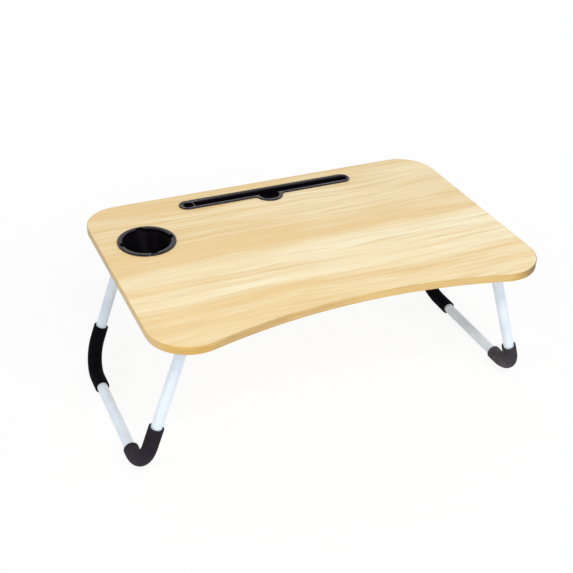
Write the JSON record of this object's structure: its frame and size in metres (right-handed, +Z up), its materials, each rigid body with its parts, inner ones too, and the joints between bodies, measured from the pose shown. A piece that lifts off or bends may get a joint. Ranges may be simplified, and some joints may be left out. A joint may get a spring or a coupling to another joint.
{
  "type": "folding lap desk",
  "caption": "Low desk for a lap or bed: a wood-look board with a hollowed front, a cup holder, a tablet slot with a pen hole, and bent tube legs that fold in under it.",
  "frame": {"origin": "on the floor, under the middle of the board, with the legs open", "axes": "+X to the sitter's right along the board's long side, +Y away from the sitter, +Z up"},
  "size_m": [0.6528, 0.4, 0.254],
  "materials": {
    "fibreboard": "raw fibreboard, matte",
    "wood_print": "pale wood print, satin",
    "edge_print": "wood print, satin",
    "black_moulding": "gloss",
    "white_tube": "white powder coat",
    "black_sleeve": "matte",
    "black_nylon": "moulded, matte",
    "white_nylon": "natural nylon, matte",
    "plated_steel": "zinc plate"
  },
  "bodies": {
    "tabletop": {"board_core": "fibreboard", "top_laminate": "wood_print", "underside_laminate": "wood_print", "edge_band": "edge_print", "cup_holder": "black_moulding", "tablet_slot_tray": "black_moulding", "front_left_bracket": "black_nylon", "back_left_bracket": "black_nylon", "front_right_bracket": "black_nylon", "back_right_bracket": "black_nylon", "front_left_pin": "plated_steel", "back_left_pin": "plated_steel", "front_right_pin": "plated_steel", "back_right_pin": "plated_steel", "friction_washers": "white_nylon", "bracket_screws": "plated_steel"},
    "left_leg": {"left_leg_tube": "white_tube", "front_left_sleeve": "black_sleeve", "back_left_sleeve": "black_sleeve", "front_left_end_plug": "black_nylon", "back_left_end_plug": "black_nylon"},
    "right_leg": {"right_leg_tube": "white_tube", "front_right_sleeve": "black_sleeve", "back_right_sleeve": "black_sleeve", "front_right_end_plug": "black_nylon", "back_right_end_plug": "black_nylon"}
  },
  "joints": [
    {"name": "left_leg_fold", "type": "hinge", "parent": "tabletop", "child": "left_leg", "pos_m": [-0.244, 0, 0.225], "axis": [0, -1, 0], "range_deg": [0, 108.4]},
    {"name": "right_leg_fold", "type": "hinge", "parent": "tabletop", "child": "right_leg", "pos_m": [0.244, 0, 0.225], "axis": [0, 1, 0], "range_deg": [0, 108.4]}
  ]
}
